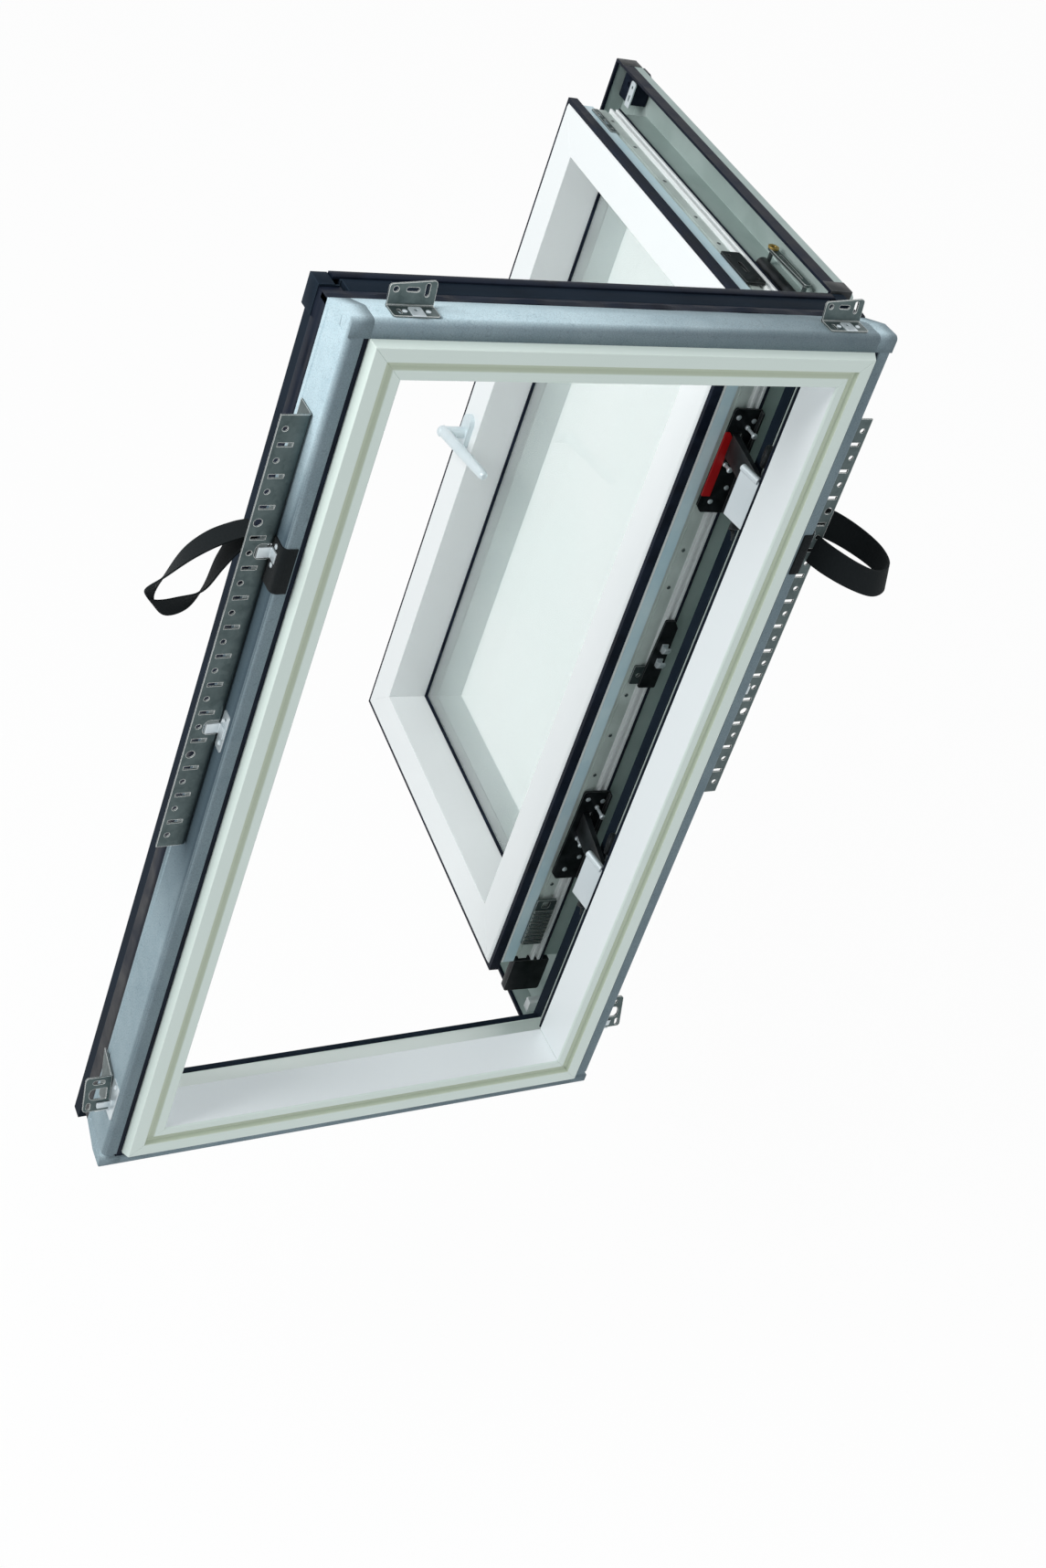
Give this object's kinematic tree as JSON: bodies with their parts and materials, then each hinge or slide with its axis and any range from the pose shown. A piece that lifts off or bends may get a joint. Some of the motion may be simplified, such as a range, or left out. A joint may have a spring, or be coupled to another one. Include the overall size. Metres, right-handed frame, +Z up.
{
  "type": "side-hung roof window",
  "caption": "White roof window with its sash swung open ninety degrees, foam insulation collar, steel mounting rails and brackets, black lifting straps and double glazing.",
  "frame": {"origin": "centre of the room-side contact face of the left mounting rail's flange", "axes": "+X to the right seen from the room, +Y outdoors, +Z up along the window's height"},
  "size_m": [0.89, 0.7785, 1.2988],
  "materials": {
    "white_plastic": "smooth white window plastic",
    "foam": "fine-grained grey foam",
    "black_rubber": "satin black seal",
    "anthracite": "satin anthracite coating",
    "steel": "galvanised steel",
    "webbing": "woven black strap",
    "clear_glass": "clear glass",
    "spacer": "grey spacer bar",
    "cover_metal": "coated aluminium",
    "satin_silver": "satin silver",
    "black_steel": "black coated steel",
    "red_plastic": "red plastic strip"
  },
  "bodies": {
    "root": {"frame_member_bottom": "white_plastic", "insulation_block_bottom": "foam", "cladding_bottom": "anthracite", "frame_member_left": "white_plastic", "insulation_block_left": "foam", "cladding_left": "anthracite", "frame_member_top": "white_plastic", "insulation_block_top": "foam", "cladding_top": "anthracite", "frame_member_right": "white_plastic", "insulation_block_right": "foam", "cladding_right": "anthracite", "sash_member_bottom": "white_plastic", "cover_bottom": "cover_metal", "sash_member_free": "white_plastic", "cover_free": "cover_metal", "sash_member_top": "white_plastic", "cover_top": "cover_metal", "sash_member_hinge": "white_plastic", "cover_hinge": "cover_metal", "mounting_rail_left": "steel", "rail_clips_left": "satin_silver", "top_bracket_left": "steel", "lower_bracket_left": "steel", "lifting_strap_left": "webbing", "mounting_rail_right": "steel", "rail_clips_right": "satin_silver", "top_bracket_right": "steel", "lower_bracket_right": "steel", "lifting_strap_right": "webbing", "hinge_jamb_seal": "black_rubber", "collar_seal": "black_rubber", "cladding_gasket": "black_rubber", "sash_gasket": "black_rubber", "glazing_seal": "black_rubber", "glass_pane_inner": "clear_glass", "glass_pane_outer": "clear_glass", "glass_spacer": "spacer", "handle_rose": "satin_silver", "handle_lever": "satin_silver", "hinge_plate_upper": "black_steel", "hinge_arm_upper": "steel", "hinge_plate_lower": "black_steel", "hinge_arm_lower": "steel", "hinge_marker": "red_plastic", "middle_catch": "black_steel", "corner_drive": "steel"}
  },
  "joints": []
}
